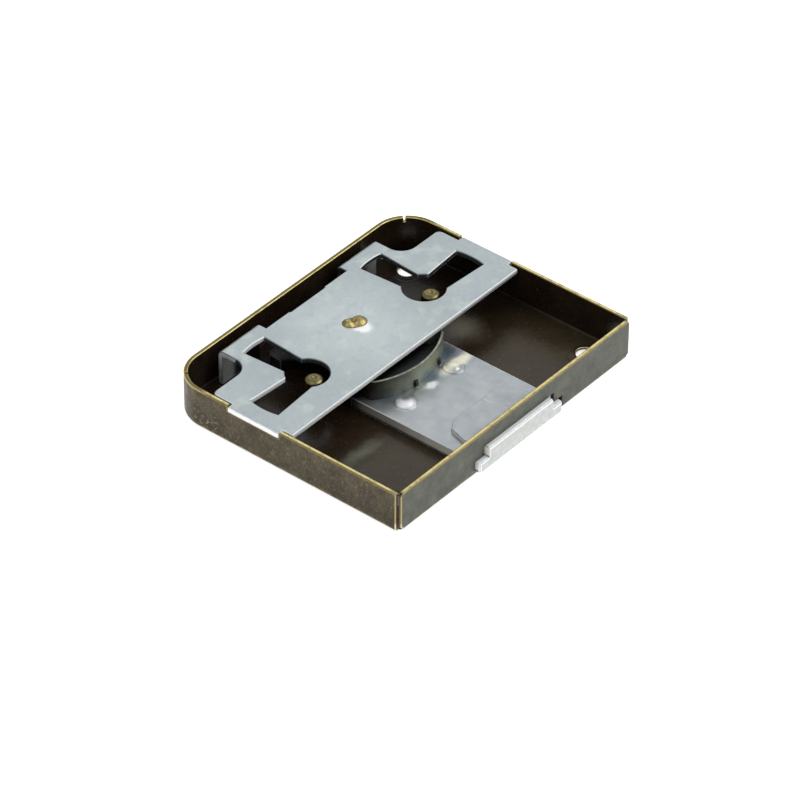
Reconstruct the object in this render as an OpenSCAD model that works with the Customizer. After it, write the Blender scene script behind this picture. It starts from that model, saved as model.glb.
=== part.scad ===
// Cabinet lock for a wooden door or drawer, screwed on from behind.
// It lies on the outer face of its case with the open side up.
// Sizes are in millimetres. X runs along the selvage, the bolt shoots towards minus Y,
// Z rises from the outer face. The origin is the middle of the outer face.

/* [Case] */
// width of the case along the selvage
case_w = 63.5; // [55:0.1:75]
// depth of the case from selvage to rear wall
case_d = 51.8; // [46:0.1:62]
// height of the walls over the outer face
case_h = 8.3; // [7.8:0.1:12]
// thickness of the brass sheet
sheet_t = 0.8; // [0.6:0.05:1]
// outside radius of the fold between floor and wall
fold_r = 1.0; // [0.85:0.05:1.6]
// plan radius of the two rear corners
corner_r = 7.0; // [4:0.1:10]
// how far each end of the selvage stops short of the side wall face
seam_short = 0.6; // [0.3:0.05:0.7]
// radius of the top corners of the selvage
selvage_corner_r = 0.8; // [0.3:0.05:2]
// width of the slit in the rim at each rear corner
slit_w = 0.35; // [0.2:0.05:0.8]
// depth of that slit below the rim
slit_depth = 0.9; // [0.3:0.05:1.5]

/* [Screw holes] */
// distance of the front screw holes from the side faces of the case
screw_front_side = 5.6; // [5.2:0.05:8]
// distance of the front screw holes from the selvage face
screw_front_inset = 5.8; // [5.2:0.05:8]
// distance of the rear screw holes from the side faces of the case
screw_rear_side = 7.1; // [6.6:0.05:8]
// distance of the rear screw holes from the rear face of the case
screw_rear_inset = 6.85; // [6.4:0.05:8]
// radius of the screw holes
screw_r = 1.6; // [1.2:0.05:2]
// radius of the countersink on the outer face
sink_r = 2.8; // [2.4:0.05:3.4]
// length of the straight wall of each screw hole over the countersink
hole_wall = 0.55; // [0.3:0.05:0.8]
// height of the raised lip round each screw hole over the floor
lip_h = 0.35; // [0.31:0.01:1.2]
// width of the lip at its top
lip_w = 0.4; // [0.2:0.05:0.8]
// width of the sloped foot of the lip
lip_foot = 0.9; // [0.5:0.05:2.5]

/* [Bolt] */
// distance of the sides of the bolt from the key axes
bolt_key_gap = 4.45; // [3.8:0.05:6]
// thickness of the bolt body
bolt_t = 2.1; // [1.6:0.05:2.6]
// running gap between the bolt and the floor
bolt_float = 0.05; // [0.02:0.01:0.2]
// how far the drawn in bolt stands out of the selvage
bolt_proud = 0.95; // [0:0.05:2]
// travel of the bolt
throw = 6.4; // [3:0.1:8]
// gap between the drawn in bolt and the legs of the cap plate
bolt_rear_gap = 1.8; // [0.5:0.1:2.5]
// chamfer of the two rear corners of the bolt
bolt_rear_chamfer = 0.8; // [0.3:0.05:2]
// bevel along the top edges of the bolt end
end_bevel = 0.3; // [0.1:0.05:0.6]
// distance of the sides of the thick head from the sides of the bolt
pad_side = 2.6; // [1.5:0.1:5]
// height of the thick head over the bolt body
pad_h = 1.95; // [1:0.05:2.6]
// length of the thick head
pad_len = 10.55; // [7:0.05:12]
// how much narrower each side of the thick head is at its rear edge
pad_rear_side = 3.1; // [1:0.1:4]
// how much narrower each side of the thick head is behind its corner
pad_waist_side = 1.1; // [0.2:0.1:2]
// length of the corner at the rear of the thick head
pad_corner = 1.2; // [0.5:0.1:3]
// length over which the sides of the thick head flare
pad_flare = 3.6; // [1:0.1:6]
// height of the thick head at its rear edge over the bolt body
pad_rear_h = 0.8; // [0.3:0.05:1.5]
// distance from the selvage to the foot of the steep part of the thick head
ramp_rear = 3.1; // [2:0.1:6]
// distance from the selvage to where the thick head reaches its full height
ramp_front = 0.9; // [0.1:0.1:1.6]
// gap between the bolt and the sides of its slot in the selvage
slot_side_gap = 0.55; // [0.5:0.05:0.8]
// gap between the thick head and the sides of its slot
slot_pad_gap = 0.75; // [0.6:0.05:1]
// gap over the bolt and over the thick head
slot_top_gap = 0.1; // [0.05:0.05:0.5]
// how far the slot sits to the right of the bolt
slot_shift = 0.45; // [0:0.05:0.5]

/* [Talon notches] */
// distance of the bottom of each notch from the middle of the bolt
talon_root_x = 4.6; // [3.6:0.1:7]
// distance of the rear end of the notch bottom from the centre post
talon_root_y = 0.3; // [-1:0.1:1.5]
// width of the notch bottom
talon_root_w = 2.6; // [1.5:0.1:4]
// clearance between the guide slot and the centre post
guide_gap = 0.15; // [0.05:0.01:0.3]

/* [Bosses on the bolt] */
// distance of each round boss from the side of the bolt
boss_inset = 4.8; // [3:0.1:6]
// distance of the bosses from the crown of the arch
boss_gap = 1.7; // [1.2:0.1:6]
// radius of the boss foot
boss_r = 1.95; // [1:0.05:2.4]
// height of the boss foot
boss_foot_h = 0.25; // [0.1:0.05:0.6]
// radius of the boss crown
boss_crown_r = 1.45; // [0.6:0.05:1.8]
// height of the boss crown
boss_crown_h = 0.5; // [0.1:0.05:1]
// width of the lugs that hold the spring
lug_w = 0.7; // [0.4:0.05:1]
// length of those lugs across the spring
lug_len = 1.3; // [0.8:0.05:2]
// height of those lugs over the bolt body
lug_h = 1.1; // [0.6:0.05:1.6]
// half the distance between the two lugs
lug_x = 3.6; // [2:0.1:5]
// how far the pair of lugs sits to the right of the middle
lug_shift = 2.0; // [0:0.1:3]

/* [Bolt spring] */
// thickness of the spring strip
strip_t = 0.45; // [0.3:0.05:0.6]
// gap between the spring and the cap plate
strip_gap = 0.12; // [0.05:0.01:0.4]
// radius of the front arch
arch_r = 16.5; // [12:0.1:22]
// distance of the crown of the arch from the centre post
arch_front = 15.6; // [14.8:0.1:17]
// half of the angle that the arch spans
arch_half = 32; // [24:0.5:38]
// radius of the two front corners of the spring
strip_corner_r = 2.0; // [1:0.05:3]
// slant of the legs from the selvage line
leg_slant = 45; // [42:0.5:50]
// radius of the bend into the straight part of each leg
leg_bend_r = 3.0; // [1.5:0.1:4]
// gap between each leg and the centre post
leg_gap = 0.15; // [0.05:0.01:0.4]
// distance from the centre post to the end of the straight legs
leg_end = 7.6; // [7:0.1:8.2]
// radius of the flared leg ends
leg_flare_r = 1.3; // [0.8:0.1:2]
// clearance of the spring notches round the lugs
lug_gap = 0.15; // [0.05:0.05:0.3]

/* [Cap plate] */
// height of the top of the plate over the outer face
cap_top = 8.0; // [7.6:0.05:9]
// thickness of the plate
cap_t = 1.0; // [0.8:0.05:1.3]
// gap between the plate and the case side walls
cap_side_gap = 0.45; // [0.1:0.05:1]
// distance of the front edge of the plate from the middle of the keyholes
cap_front = 9.25; // [7:0.05:12]
// distance of the rear edge of the wings from the middle of the keyholes
wing_rear = 8.8; // [6:0.1:10]
// radius of the outer corners of the wings
wing_corner_r = 1.0; // [0.3:0.05:2]
// distance of the rear part of the plate from the side faces of the case
rear_inset = 10.95; // [9:0.05:12]
// radius of the inside corner beside each wing
inside_r = 3.2; // [1:0.1:5]
// distance of the front end of the side tabs from the middle of the keyholes
tab_front = 7.1; // [4:0.1:8]
// distance of the rear end of the side tabs from the middle of the keyholes
tab_rear = 4.2; // [2:0.1:6]
// how far the side tabs stand out of the case walls
tab_proud = 0.05; // [0:0.05:0.5]
// gap between the tabs and the ends of their notches
tab_gap = 0.1; // [0.05:0.05:0.4]
// distance from the outer face of the legs to the rear edge between them
mid_rear = 2.65; // [1.8:0.05:3.2]
// half width of the middle of that edge
mid_half = 4.6; // [3:0.1:8]
// height of the sheared step beside it
mid_step = 0.25; // [0.1:0.05:0.6]

/* [Cap plate legs] */
// gap between the legs and the rear wall of the case
leg_rear_gap = 1.3; // [0.3:0.05:3]
// distance of the inner end of each leg from the middle
leg_inner = 10.8; // [9:0.1:14]
// inside radius of the bend into the legs
leg_fold_r = 0.2; // [0.2:0.05:1]
// radius of the inner corner of each leg
leg_corner_r = 0.7; // [0.3:0.05:0.9]

/* [Keyholes] */
// distance of the key axes from the side faces of the case
key_inset = 16.0; // [15:0.05:18]
// distance of the round part of the keyholes from the rear face of the case
key_rear = 18.1; // [17:0.05:19.5]
// radius of the round part
key_r = 3.95; // [3.4:0.05:4.5]
// how far the arms start in front of the middle of the round part
arm_shift = 0.6; // [0:0.05:1.2]
// half width of the side arms near the round part
side_arm_half = 2.3; // [1.8:0.05:3]
// half width of the side arms at their ends
side_arm_end_half = 3.2; // [2:0.05:3.6]
// reach of the side arms from the key axis
side_arm_reach = 12.4; // [10:0.1:13]
// half width of the rear arms near the round part
rear_arm_half = 2.1; // [1.8:0.05:3]
// half width of the rear arms at their ends
rear_arm_end_half = 2.9; // [2:0.05:3.6]
// reach of the rear arms from the key axis
rear_arm_reach = 13.1; // [10:0.1:13.4]

/* [Posts] */
// radius of the key posts
key_post_r = 1.7; // [1.2:0.05:2]
// how far the key posts sit in front of the middle of the round part
key_post_front = 1.2; // [0:0.05:1.5]
// how far the pair of key posts sits to the right of the middle
key_post_shift = 0.4; // [0:0.05:0.6]
// height of the top of the key posts over the outer face
key_post_top = 7.4; // [5:0.05:8]
// height of the dome on the key posts
key_post_dome = 0.5; // [0.1:0.05:0.8]
// radius of the dimple in the dome
dimple_r = 0.45; // [0.2:0.05:0.8]
// radius of the centre post
centre_post_r = 1.9; // [1.5:0.05:2.4]
// distance of the centre post from the rear face of the case
centre_post_rear = 15.1; // [14.8:0.05:16]
// radius of the riveted ends of all posts
rivet_r = 1.4; // [1:0.05:1.45]
// radius of the larger lobe of the peened head
head_r = 1.55; // [1.3:0.05:1.8]
// radius of its smaller lobe
head_low_r = 1.25; // [1:0.05:1.5]
// height of the peened head
head_h = 0.8; // [0.5:0.05:1.2]
// distance between the two lobes of the peened head
head_split = 1.9; // [1:0.05:2.1]
// how far the peened head leans to the right
head_lean = 0.2; // [0:0.05:0.4]
// turn of the line through the two lobes
head_turn = -30; // [-60:1:60]

/* [Hidden] */
$fn = 96;
eps = 0.01;
floor_top = sheet_t;
cap_low = cap_top - cap_t;
half_w = case_w / 2;
half_d = case_d / 2;
screw_front_x = half_w - screw_front_side;
screw_front_y = -half_d + screw_front_inset;
screw_rear_x = half_w - screw_rear_side;
screw_rear_y = half_d - screw_rear_inset;
screw_places = [[-screw_front_x, screw_front_y], [screw_front_x, screw_front_y],
                [-screw_rear_x, screw_rear_y], [screw_rear_x, screw_rear_y]];
key_x = half_w - key_inset;
key_y = half_d - key_rear;
arm_y = key_y - arm_shift;
key_post_y = key_y - key_post_front;
centre_post_y = half_d - centre_post_rear;
leg_face = half_d - sheet_t - leg_rear_gap;
leg_front = leg_face - cap_t;
cap_half = half_w - sheet_t - cap_side_gap;
cap_front_y = key_y - cap_front;
wing_rear_y = key_y + wing_rear;
rear_half = half_w - rear_inset;
mid_rear_y = leg_face - mid_rear;
tab_half = half_w + tab_proud;
tab_front_y = key_y - tab_front;
tab_rear_y = key_y + tab_rear;
bolt_low = floor_top + bolt_float;
bolt_top = bolt_low + bolt_t;
bolt_half = key_x - bolt_key_gap;
bolt_w = 2 * bolt_half;
bolt_front = -half_d - bolt_proud;
bolt_rear = leg_front - bolt_rear_gap;
pad_half = bolt_half - pad_side;
pad_rear = bolt_front + pad_len;
pad_top = bolt_top + pad_h;
ramp_rear_y = -half_d + sheet_t + ramp_rear;
ramp_front_y = -half_d + sheet_t + ramp_front;
talon_y = centre_post_y + talon_root_y;
guide_r = centre_post_r + guide_gap;
arch_front_y = centre_post_y - arch_front;
arch_y = arch_front_y + arch_r + strip_t / 2;
boss_x = bolt_half - boss_inset;
boss_y = arch_front_y - boss_gap;
leg_end_y = centre_post_y + leg_end;
arch_end_x = (arch_r - strip_corner_r) * sin(arch_half);
arch_end_y = arch_y - (arch_r - strip_corner_r) * cos(arch_half);
strip_low = bolt_top;
strip_h = cap_low - strip_gap - bolt_top;
leg_line = centre_post_r + leg_gap + strip_t / 2;
leg_start_x = arch_end_x + strip_corner_r * sin(leg_slant);
leg_start_y = arch_end_y + strip_corner_r * cos(leg_slant);
leg_stop_x = leg_line + leg_bend_r * (1 - sin(leg_slant));
leg_len = (leg_start_x - leg_stop_x) / cos(leg_slant);
leg_stop_y = leg_start_y + leg_len * sin(leg_slant);
leg_bend_y = leg_stop_y + leg_bend_r * cos(leg_slant);
lug_places = [lug_shift - lug_x, lug_shift + lug_x];

// a piece and its mirror image across the middle of the lock
module both_sides() {
    children();
    mirror([1, 0, 0]) children();
}

// a shallow dome with foot radius r and height h standing on z = 0, with a small flat on top
module dome(r, h) {
    ball = (r * r + h * h) / (2 * h);
    intersection() {
        translate([0, 0, h - ball]) sphere(ball);
        translate([-r - 1, -r - 1, 0]) cube([2 * r + 2, 2 * r + 2, h - 2 * eps]);
    }
}

// upright section through a wall and its fold, outer face on the axis
module wall_section() {
    translate([-sheet_t, fold_r]) square([sheet_t, case_h - fold_r]);
    translate([-fold_r, fold_r]) difference() {
        intersection() {
            circle(fold_r);
            translate([0, -fold_r]) square(fold_r);
        }
        circle(fold_r - sheet_t);
    }
}

// the bent sheet of the four walls before anything is cut from it
module walls() {
    both_sides() {
        translate([half_w, half_d - corner_r, 0]) rotate([90, 0, 0])
            linear_extrude(case_d - corner_r - fold_r) wall_section();
        translate([half_w - corner_r, half_d - corner_r, 0])
            rotate_extrude(angle = 90) translate([corner_r, 0]) wall_section();
        translate([half_w - fold_r - eps, -half_d, fold_r])
            cube([fold_r - seam_short + eps, sheet_t, case_h - fold_r]);
    }
    rotate([0, 0, -90]) translate([half_d, half_w - fold_r, 0]) rotate([90, 0, 0])
        linear_extrude(case_w - 2 * fold_r) wall_section();
    rotate([0, 0, 90]) translate([half_d, half_w - corner_r, 0]) rotate([90, 0, 0])
        linear_extrude(case_w - 2 * corner_r) wall_section();
}

// the flat floor inside the folds
module floor_sheet() {
    linear_extrude(sheet_t) union() {
        translate([-half_w + fold_r, -half_d + fold_r])
            square([case_w - 2 * fold_r, case_d - fold_r - corner_r]);
        translate([-half_w + corner_r, 0])
            square([case_w - 2 * corner_r, half_d - fold_r]);
        both_sides() translate([half_w - corner_r, half_d - corner_r])
            circle(corner_r - fold_r);
    }
}

// top hat shaped opening in the selvage for the bolt and its thick head
module selvage_slot() {
    low_half = bolt_half + slot_side_gap;
    high_half = pad_half + slot_pad_gap;
    translate([slot_shift - low_half, -half_d - 1, floor_top])
        cube([2 * low_half, 1 + fold_r, bolt_top + slot_top_gap - floor_top]);
    translate([slot_shift - high_half, -half_d - 1, floor_top])
        cube([2 * high_half, 1 + fold_r, pad_top + slot_top_gap - floor_top]);
}

// brass case folded from one sheet
module case_body() {
    color("#6b6248") difference() {
        union() {
            walls();
            floor_sheet();
            for (place = screw_places)
                translate([place[0], place[1], floor_top - eps])
                    cylinder(h = lip_h + eps, r1 = screw_r + lip_w + lip_foot, r2 = screw_r + lip_w);
        }
        selvage_slot();
        // screw holes with their countersinks on the outer face
        for (place = screw_places)
            translate([place[0], place[1], 0]) {
                translate([0, 0, -1]) cylinder(h = 5, r = screw_r);
                translate([0, 0, -eps])
                    cylinder(h = floor_top + lip_h - hole_wall, r1 = sink_r, r2 = screw_r - eps);
            }
        // seats of the three riveted posts
        for (side = [-1, 1])
            translate([side * key_x + key_post_shift, key_post_y, -1]) cylinder(h = 3, r = rivet_r);
        translate([0, centre_post_y, -1]) cylinder(h = 3, r = rivet_r);
        // notches in the side walls for the tabs of the cap plate
        both_sides() translate([half_w - fold_r, tab_front_y - tab_gap, cap_low])
            cube([fold_r + 1, tab_rear_y - tab_front_y + 2 * tab_gap, case_h]);
        // slits in the rim of the rear corners
        both_sides() translate([half_w - corner_r, half_d - corner_r, 0]) rotate([0, 0, 45])
            translate([corner_r - sheet_t - 0.5, -slit_w / 2, case_h - slit_depth])
                cube([sheet_t + 1, slit_w, slit_depth + 1]);
        // rounded top corners of the selvage
        both_sides() translate([half_w - seam_short - selvage_corner_r, 0, case_h - selvage_corner_r])
            difference() {
                translate([0, -half_d - 1, 0]) cube([selvage_corner_r + 1, sheet_t + 1 + eps, 2]);
                translate([0, -half_d - 2, 0]) rotate([-90, 0, 0])
                    cylinder(h = sheet_t + 3, r = selvage_corner_r);
            }
    }
}

// opening for the key, round part with one arm to the side and one to the rear
module keyhole() {
    translate([key_x, key_y]) circle(key_r);
    intersection() {
        polygon([[key_x, arm_y - side_arm_half],
                 [key_x + side_arm_reach + 1, arm_y - side_arm_end_half],
                 [key_x + side_arm_reach + 1, arm_y + side_arm_end_half],
                 [key_x, arm_y + side_arm_half]]);
        translate([key_x, arm_y]) circle(side_arm_reach);
    }
    intersection() {
        polygon([[key_x - rear_arm_half, arm_y + key_r / 2],
                 [key_x + rear_arm_half, arm_y + key_r / 2],
                 [key_x + rear_arm_end_half, arm_y + rear_arm_reach + 1],
                 [key_x - rear_arm_end_half, arm_y + rear_arm_reach + 1]]);
        translate([key_x, arm_y]) circle(rear_arm_reach);
    }
}

// flat blank of the cap plate without its legs
module cap_blank() {
    difference() {
        union() {
            translate([-cap_half, cap_front_y]) square([2 * cap_half, wing_rear + cap_front]);
            translate([-tab_half, tab_front_y]) square([2 * tab_half, tab_rear + tab_front]);
            translate([-rear_half, key_y]) square([2 * rear_half, mid_rear_y - key_y]);
            both_sides() {
                translate([mid_half, key_y])
                    square([rear_half - mid_half, mid_rear_y + mid_step - key_y]);
                translate([leg_inner, key_y])
                    square([rear_half - leg_inner, leg_front - leg_fold_r - key_y]);
                difference() {
                    translate([rear_half - eps, wing_rear_y - eps]) square(inside_r + eps);
                    translate([rear_half + inside_r, wing_rear_y + inside_r]) circle(inside_r);
                }
            }
        }
        both_sides() keyhole();
        translate([0, centre_post_y]) circle(rivet_r);
        both_sides() difference() {
            translate([cap_half - wing_corner_r, wing_rear_y - wing_corner_r]) square(wing_corner_r + 1);
            translate([cap_half - wing_corner_r, wing_rear_y - wing_corner_r]) circle(wing_corner_r);
        }
    }
}

// section through the bend and one leg, seen along the selvage
module leg_section() {
    bend = cap_t + leg_fold_r;
    translate([leg_front, floor_top]) square([cap_t, cap_top - bend - floor_top]);
    translate([leg_face - bend, cap_top - bend]) difference() {
        intersection() {
            circle(bend);
            square(bend);
        }
        circle(leg_fold_r);
    }
}

// steel plate with the two keyholes, two side tabs and two legs bent down at the rear
module cap_plate() {
    color("#b9bec2") union() {
        translate([0, 0, cap_low]) linear_extrude(cap_t) cap_blank();
        both_sides() difference() {
            translate([leg_inner, 0, 0]) rotate([90, 0, 90])
                linear_extrude(rear_half - leg_inner) leg_section();
            translate([leg_inner, leg_face - leg_corner_r, -1]) difference() {
                translate([-1, 0, 0]) cube([1 + leg_corner_r, 2, 12]);
                translate([leg_corner_r, 0, -1]) cylinder(h = 14, r = leg_corner_r);
            }
        }
    }
}

// outline of the bolt body with its two talon notches and the guide slot
module bolt_outline() {
    reach = bolt_half - talon_root_x;
    difference() {
        translate([-bolt_half, bolt_front]) square([bolt_w, bolt_rear - bolt_front]);
        both_sides() {
            polygon([[talon_root_x, talon_y],
                     [talon_root_x, talon_y - talon_root_w],
                     [bolt_half + 1, talon_y - talon_root_w - reach - 1],
                     [bolt_half + 1, talon_y + reach + 1]]);
            polygon([[bolt_half + 1, bolt_rear + 1],
                     [bolt_half - bolt_rear_chamfer, bolt_rear + eps],
                     [bolt_half + eps, bolt_rear - bolt_rear_chamfer]]);
        }
        translate([0, centre_post_y]) circle(guide_r);
        translate([0, centre_post_y + throw]) circle(guide_r);
        translate([-guide_r, centre_post_y]) square([2 * guide_r, throw]);
    }
}

// plan of the thick head that carries the load at the bolt end
module pad_outline() {
    waist = pad_rear - pad_corner;
    waist_half = pad_half - pad_waist_side;
    rear_end = pad_half - pad_rear_side;
    polygon([[-pad_half, bolt_front], [pad_half, bolt_front],
             [pad_half, waist - pad_flare], [waist_half, waist],
             [rear_end, pad_rear], [-rear_end, pad_rear],
             [-waist_half, waist], [-pad_half, waist - pad_flare]]);
}

// side view of the thick head, low at its rear and rising steeply to the end
module pad_profile() {
    polygon([[bolt_front, bolt_low], [pad_rear + 1, bolt_low],
             [pad_rear + 1, bolt_top + pad_rear_h], [ramp_rear_y, bolt_top + pad_rear_h],
             [ramp_front_y, pad_top], [bolt_front, pad_top]]);
}

// places its children on the line of the arch at the distance x from the middle
module on_arch(x) {
    turn = asin(x / arch_r);
    translate([x, arch_y - arch_r * cos(turn), 0]) rotate([0, 0, turn]) children();
}

// the sliding bolt, cast in one piece with its head, bosses and spring lugs
module bolt() {
    color("#c3c7c9") difference() {
        union() {
            translate([0, 0, bolt_low]) linear_extrude(bolt_t) bolt_outline();
            intersection() {
                translate([0, 0, bolt_low]) linear_extrude(bolt_t + pad_h) pad_outline();
                translate([-bolt_half, 0, 0]) rotate([90, 0, 90])
                    linear_extrude(bolt_w) pad_profile();
            }
            both_sides() translate([boss_x, boss_y, bolt_top - eps]) {
                cylinder(h = boss_foot_h + eps, r = boss_r);
                translate([0, 0, boss_foot_h]) dome(boss_crown_r, boss_crown_h);
            }
            for (x = lug_places)
                on_arch(x) translate([-lug_w / 2, -lug_len / 2, bolt_top - eps])
                    cube([lug_w, lug_len, lug_h + eps]);
        }
        // bevels on the top edges of the end face
        translate([0, bolt_front, pad_top]) rotate([45, 0, 0])
            cube([bolt_w + 2, end_bevel * 1.4142, end_bevel * 1.4142], center = true);
        both_sides() translate([bolt_half, bolt_front, bolt_top]) rotate([45, 0, 0])
            cube([2 * pad_side - 0.2, end_bevel * 1.4142, end_bevel * 1.4142], center = true);
        both_sides() translate([bolt_half, bolt_front, bolt_low]) rotate([0, 0, 45])
            cube([end_bevel * 1.4142, end_bevel * 1.4142, 8], center = true);
    }
}

// one curved length of the spring strip, turned by a from the front, spanning the angle b
module strip_arc(r, a, b) {
    intersection() {
        difference() {
            circle(r + strip_t / 2);
            circle(r - strip_t / 2);
        }
        polygon([[0, 0], 2 * r * [sin(a), -cos(a)],
                 2 * r * [sin(a + b / 2), -cos(a + b / 2)] / cos(b / 4),
                 2 * r * [sin(a + b), -cos(a + b)]]);
    }
}

// plan of the spring, an arch in front and two legs that embrace the centre post
module spring_plan() {
    translate([0, arch_y]) strip_arc(arch_r, -arch_half, 2 * arch_half);
    both_sides() {
        translate([arch_end_x, arch_end_y])
            strip_arc(strip_corner_r, arch_half - 1, 180 - leg_slant - arch_half + 2);
        translate([leg_start_x, leg_start_y]) rotate([0, 0, 180 - leg_slant])
            translate([-eps, -strip_t / 2]) square([leg_len + 2 * eps, strip_t]);
        translate([leg_line + leg_bend_r, leg_bend_y])
            strip_arc(leg_bend_r, -91, 92 - leg_slant);
        translate([leg_line - strip_t / 2, leg_bend_y - eps])
            square([strip_t, leg_end_y - leg_bend_y + 2 * eps]);
        translate([leg_line + leg_flare_r, leg_end_y]) strip_arc(leg_flare_r, -151, 61);
    }
}

// flat steel spring standing on edge on the bolt
module bolt_spring() {
    color("#6f6f5c") difference() {
        translate([0, 0, strip_low]) linear_extrude(strip_h) spring_plan();
        for (x = lug_places)
            on_arch(x) translate([-lug_w / 2 - lug_gap, -2, strip_low - 1])
                cube([lug_w + 2 * lug_gap, 4, 1 + lug_h + lug_gap]);
    }
}

// brass post that guides the bolt and holds the cap plate, peened over into two lobes
module centre_post() {
    color("#c8a24f") translate([0, centre_post_y, 0]) difference() {
        union() {
            cylinder(h = floor_top + eps, r = rivet_r);
            translate([0, 0, floor_top]) cylinder(h = cap_low - floor_top, r = centre_post_r);
            translate([0, 0, cap_low - eps]) cylinder(h = cap_t + 2 * eps, r = rivet_r);
            translate([head_lean, 0, cap_top]) rotate([0, 0, head_turn]) {
                translate([head_split / 2, 0, 0]) dome(head_r, head_h);
                translate([-head_split / 2, 0, 0]) dome(head_low_r, head_h - 0.1);
            }
        }
        // mark of the riveting punch
        translate([head_lean, -0.1, cap_top + head_h - 0.45])
            cylinder(h = 0.6, r1 = 0.2, r2 = 0.8);
    }
}

// brass post that centres the hollow key
module key_post() {
    body = key_post_top - key_post_dome - floor_top;
    color("#c8a24f") difference() {
        union() {
            cylinder(h = floor_top + eps, r = rivet_r);
            translate([0, 0, floor_top]) cylinder(h = body, r = key_post_r);
            translate([0, 0, floor_top + body]) dome(key_post_r, key_post_dome);
        }
        translate([0, 0, key_post_top - dimple_r * 0.6])
            cylinder(h = dimple_r, r1 = dimple_r * 0.2, r2 = dimple_r * 1.2);
    }
}

case_body();  // case
cap_plate();
bolt();
bolt_spring();
centre_post();
translate([key_post_shift - key_x, key_post_y, 0]) key_post();  // key_post_left
translate([key_post_shift + key_x, key_post_y, 0]) key_post();  // key_post_right
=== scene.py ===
# %% [markdown]
# # A cabinet lock, dressed for its portrait
# The lock is a shallow tray folded from brass sheet, with a zinc-plated steel plate over its
# rear half, a cast zinc bolt that slides on the floor of the tray, a flat steel spring and
# three brass posts. The CAD solids already have the right shapes and places. What they lack
# is what a maker's tools leave behind: soft sheared edges, rubbed rims, a dark antique skin,
# a cloudy plating. The lesson adds those, piece by piece.

# %% Load the frame
import math

import bmesh
import bpy
from mathutils import Matrix, Vector


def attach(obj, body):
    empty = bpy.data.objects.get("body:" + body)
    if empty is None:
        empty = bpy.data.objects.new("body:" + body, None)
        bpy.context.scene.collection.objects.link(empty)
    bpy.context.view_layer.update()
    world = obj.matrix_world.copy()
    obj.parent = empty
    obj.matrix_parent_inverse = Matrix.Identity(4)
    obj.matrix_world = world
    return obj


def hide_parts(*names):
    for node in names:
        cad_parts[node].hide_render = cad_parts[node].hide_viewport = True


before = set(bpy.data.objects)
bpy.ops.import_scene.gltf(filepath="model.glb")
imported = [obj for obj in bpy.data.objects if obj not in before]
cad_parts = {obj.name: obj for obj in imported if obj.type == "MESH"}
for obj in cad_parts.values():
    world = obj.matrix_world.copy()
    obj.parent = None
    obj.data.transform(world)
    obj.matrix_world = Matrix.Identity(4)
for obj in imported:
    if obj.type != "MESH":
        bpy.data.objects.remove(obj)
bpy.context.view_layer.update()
MM = 0.001

# %% [markdown]
# ## A few sizes of the lock
# The patterns and the sorting of faces need to know where the walls, the plate and the bolt
# are. These are sizes of the CAD solids, in millimetres.

# %% Sizes in millimetres
HALF_W, HALF_D = 31.75, 25.9  # to the outer faces of the walls, across and along the bolt
SHEET_T, RIM_Z = 0.8, 8.3  # the brass sheet, and the top of the walls
WALL_IN, SELVAGE_IN = HALF_W - SHEET_T, SHEET_T - HALF_D  # the inner faces of the walls
PLATE_LOW, PLATE_TOP = 7.0, 8.0
BOLT_HALF, BOLT_TOP, BOLT_FRONT = 11.3, 2.95, -26.85
HEAD_Y = -15  # the thick head of the bolt lies in front of this
print("tray:", 2 * HALF_W, "by", 2 * HALF_D, "by", RIM_Z, "mm")

# %% [markdown]
# ## Two small tools for materials
# Colours are picked as sRGB hex values, the way an eye or a picture editor gives them, but
# the shader counts in linear light. One function makes that step. A second one adds a node,
# sets it and links it. With those two, a material reads as a short list of what it is made of.

# %% Colour and node helpers


def linear(hex_colour):
    """An sRGB hex colour as linear RGBA."""
    parts = [int(hex_colour[i:i + 2], 16) / 255 for i in (1, 3, 5)]
    return tuple(c / 12.92 if c <= 0.04045 else ((c + 0.055) / 1.055) ** 2.4
                 for c in parts) + (1.0,)


def add(tree, kind, inputs=None, **settings):
    """One node: inputs are values, or other nodes' sockets to link."""
    node = tree.nodes.new(kind)
    for name, value in settings.items():
        setattr(node, name, value)
    for key, value in (inputs or {}).items():
        if isinstance(value, bpy.types.NodeSocket):
            tree.links.new(value, node.inputs[key])
        else:
            node.inputs[key].default_value = value
    return node


print("brass in linear light:", [round(v, 3) for v in linear("#d8c083")])

# %% [markdown]
# ## A metal to start from
# Every surface here is a metal, so all share one skeleton: a Principled shader with full
# metallic, fed by object coordinates in millimetres. Where a metal is dull, dipped or greasy,
# its own function turns the metallic down again. Object coordinates stay with the piece when
# it moves, and a pattern scale is then simply "so many per millimetre". The small functions
# after it are the layers that all the metals are painted with.

# %% A metal's skeleton


def metal(name, roughness):
    """A material with a fully metallic shader. Gives back the material, tree, shader, mm."""
    material = bpy.data.materials.new(name)
    material.use_nodes = True
    tree = material.node_tree
    shader = next(n for n in tree.nodes if n.type == "BSDF_PRINCIPLED")
    shader.inputs["Metallic"].default_value = 1.0
    shader.inputs["Roughness"].default_value = roughness
    place = add(tree, "ShaderNodeTexCoord").outputs["Object"]
    mm = add(tree, "ShaderNodeVectorMath", {0: place, 3: 1 / MM}, operation="SCALE")
    return material, tree, shader, mm.outputs[0]


def cloud(tree, mm, per_mm, low, high, detail=4.0, stretch=(1, 1, 1), seed=0.0):
    """Noise with so many blobs per millimetre, as a grey that runs from 0 at low to 1 at high."""
    moved = add(tree, "ShaderNodeMapping", {"Vector": mm, "Scale": stretch,
                                            "Location": (seed, 2 * seed, 3 * seed)})
    noise = add(tree, "ShaderNodeTexNoise", {"Vector": moved.outputs[0], "Scale": per_mm,
                                             "Detail": detail, "Roughness": 0.55})
    grey = add(tree, "ShaderNodeMapRange", {"Value": noise.outputs[0], 1: low, 2: high},
               interpolation_type="SMOOTHSTEP")
    return grey.outputs[0]


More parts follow.
